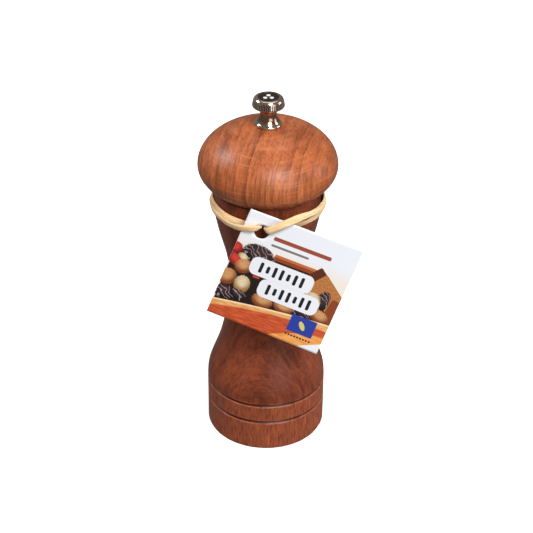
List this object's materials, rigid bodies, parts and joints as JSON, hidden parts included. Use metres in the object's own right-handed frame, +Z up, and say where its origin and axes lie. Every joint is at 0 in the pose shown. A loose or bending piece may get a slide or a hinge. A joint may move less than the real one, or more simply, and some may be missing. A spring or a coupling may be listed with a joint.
{
  "type": "pepper mill",
  "caption": "Turned wooden pepper mill with a domed head, steel burrs on a square shaft, a chrome adjusting knob, and a square card tag hung on a raffia loop round its neck.",
  "frame": {"origin": "centre of the foot ring, on the surface that the mill stands on", "axes": "+Z up along the mill's axis, -Y towards the front where the tag hangs, +X to the right as seen from the front"},
  "size_m": [0.0707, 0.0676, 0.1666],
  "materials": {
    "body_wood": "satin varnished, dark reddish brown, turned grain",
    "head_wood": "satin varnished, lighter orange brown, streaked grain",
    "burr_steel": "dark hardened steel, cut teeth",
    "zinc_steel": "stamped, zinc plated",
    "spring_steel": "drawn wire",
    "shaft_aluminium": "drawn square bar",
    "screw_steel": "zinc plated, slotted",
    "knob_chrome": "bright plated, knurled edge",
    "insert_black": "gloss black",
    "mark_white": "printed white",
    "tag_card": "printed coated card",
    "raffia": "dry plant fibre, straw coloured"
  },
  "bodies": {
    "mill_body": {"lower_body": "body_wood", "stator_ring": "burr_steel", "shaft_guide": "zinc_steel", "bridge_bar": "zinc_steel", "bridge_screws": "screw_steel"},
    "carrier": {"thrust_washer": "zinc_steel", "spring": "spring_steel"},
    "spindle": {"shaft": "shaft_aluminium", "rotor": "burr_steel", "rotor_clip": "spring_steel"},
    "head": {"head": "head_wood", "drive_plate": "zinc_steel", "drive_plate_screws": "screw_steel"},
    "knob": {"knob_nut": "knob_chrome", "knob_insert": "insert_black", "knob_mark": "mark_white"},
    "tag_loop": {"raffia_loop": "raffia", "raffia_knot": "raffia"},
    "tag": {"tag_card": "tag_card"}
  },
  "joints": [
    {"name": "head_turn", "type": "hinge", "parent": "mill_body", "child": "carrier", "pos_m": [0, 0, 0.0197], "axis": [0, 0, 1], "continuous": true},
    {"name": "head_lift", "type": "slide", "parent": "carrier", "child": "head", "axis": [0, 0, 1], "range_m": [0, 0.06]},
    {"name": "knob_turn", "type": "hinge", "parent": "head", "child": "knob", "pos_m": [0, 0, 0.1537], "axis": [0, 0, 1], "range_deg": [-360, 360]},
    {"name": "grind_adjust", "type": "slide", "parent": "carrier", "child": "spindle", "axis": [0, 0, 1], "range_m": [-0.0008, 0.0008], "deforming": ["spring"]},
    {"name": "loop_turn", "type": "hinge", "parent": "mill_body", "child": "tag_loop", "pos_m": [0, 0, 0.1174], "axis": [0, 0, 1], "continuous": true},
    {"name": "tag_swing", "type": "hinge", "parent": "tag_loop", "child": "tag", "pos_m": [-0.0023, -0.03, 0.1187], "axis": [0.0347, 0.993, -0.1132], "range_deg": [0, 6]}
  ],
  "couplings": [
    {"joint": "knob_turn", "follows": "grind_adjust", "rad_per_m": -7854}
  ]
}
